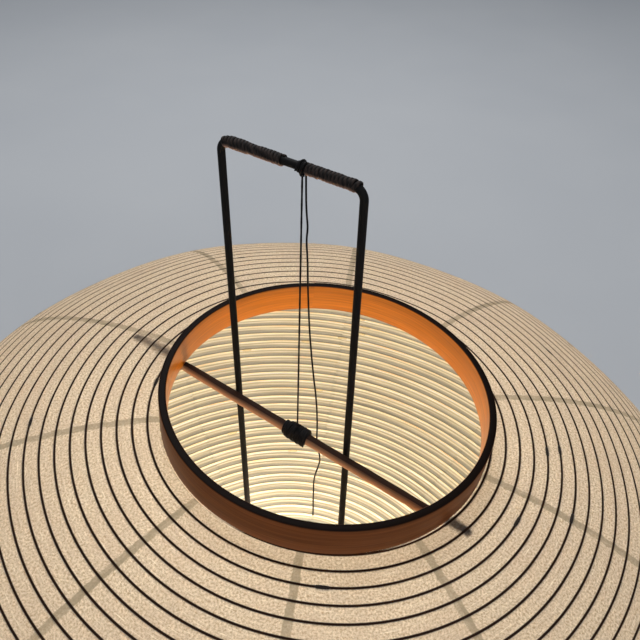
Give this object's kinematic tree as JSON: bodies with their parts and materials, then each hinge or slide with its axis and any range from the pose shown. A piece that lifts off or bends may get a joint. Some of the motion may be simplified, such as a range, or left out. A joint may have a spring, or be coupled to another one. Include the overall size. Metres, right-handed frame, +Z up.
{
  "type": "paper lantern lamp",
  "caption": "Standing lamp with a wide ribbed paper shade that hangs by one string from a bent-rod stand.",
  "frame": {"origin": "centre of the stand, on the surface it rests on", "axes": "+Z up; the hanger rod and its bar lie in the XZ plane, with the bar along X; +Y is away from the side the free string end hangs on"},
  "size_m": [0.5738, 0.5739, 0.5456],
  "materials": {
    "felt": "dark felt",
    "base_paint": "satin black powder coat",
    "black_rod": "black painted steel rod",
    "zinc_steel": "zinc-plated steel",
    "black_plastic": "moulded black phenolic",
    "insulator_white": "unglazed white ceramic",
    "brass_part": "plain brass",
    "aluminium_cap": "pressed aluminium",
    "lamp_glass": "clear lamp glass",
    "filament": "coated filament strips",
    "black_cord": "waxed black cotton cord",
    "wrap_cord": "dark brown binding cord",
    "hoop_wood": "steam-bent ash veneer, oiled",
    "dowel_wood": "stained round stick",
    "washi": "fibrous mulberry paper",
    "bamboo": "split bamboo strip",
    "splice_paper": "glued paper wrap"
  },
  "bodies": {
    "stand": {"base_plate": "base_paint", "base_pad": "felt", "hanger_rod": "black_rod", "base_nuts_upper": "zinc_steel", "base_nuts_lower": "zinc_steel", "base_washers": "zinc_steel", "socket_bracket": "black_rod", "rod_collars": "black_rod", "collar_screws": "zinc_steel", "holder_cap": "black_plastic", "holder_shell": "black_plastic", "holder_insulator": "insulator_white", "holder_thread_sleeve": "brass_part", "holder_centre_contact": "brass_part", "holder_nipple": "zinc_steel", "nipple_nuts": "zinc_steel", "cable_bush": "black_plastic", "bulb_glass": "lamp_glass", "bulb_cap": "aluminium_cap", "bulb_insulator": "black_plastic", "bulb_contact": "aluminium_cap", "bulb_stem": "lamp_glass", "bulb_filaments": "filament", "bar_wrap_left": "wrap_cord", "bar_wrap_right": "wrap_cord", "bar_knot": "black_cord", "hanging_string": "black_cord", "string_tail": "black_cord"},
    "string_end": {"string_lower_knot": "black_cord"},
    "dowel": {"shade_dowel": "dowel_wood", "dowel_lashing": "black_cord"},
    "shade": {"top_hoop": "hoop_wood", "paper_gore_01": "washi", "paper_gore_02": "washi", "paper_gore_03": "washi", "paper_gore_04": "washi", "paper_gore_05": "washi", "paper_gore_06": "washi", "paper_gore_07": "washi", "paper_gore_08": "washi", "paper_gore_09": "washi", "paper_gore_10": "washi", "ribs_upper": "bamboo", "ribs_lower": "bamboo", "rib_splices": "splice_paper"},
    "lower_hoop": {"bottom_hoop": "hoop_wood"}
  },
  "joints": [
    {"name": "shade_lift", "type": "slide", "parent": "stand", "child": "string_end", "axis": [0, 0, 1], "range_m": [0, 0.1], "deforming": ["hanging_string"]},
    {"name": "shade_tilt", "type": "hinge", "parent": "string_end", "child": "dowel", "pos_m": [0.009, -0.00555, 0.3773], "axis": [0, 1, 0], "range_deg": [-8, 2]},
    {"name": "shade_swing", "type": "hinge", "parent": "dowel", "child": "shade", "pos_m": [0.009, -0.00555, 0.37], "axis": [0.998, 0, -0.0633], "range_deg": [-2, 6]},
    {"name": "shade_fold", "type": "slide", "parent": "shade", "child": "lower_hoop", "axis": [0.0632, 0.0438, 0.997], "range_m": [0, 0.25], "deforming": ["paper_gore_01", "paper_gore_02", "paper_gore_03", "paper_gore_04", "paper_gore_05", "paper_gore_06", "paper_gore_07", "paper_gore_08", "paper_gore_09", "paper_gore_10", "ribs_upper", "ribs_lower", "rib_splices"]}
  ]
}
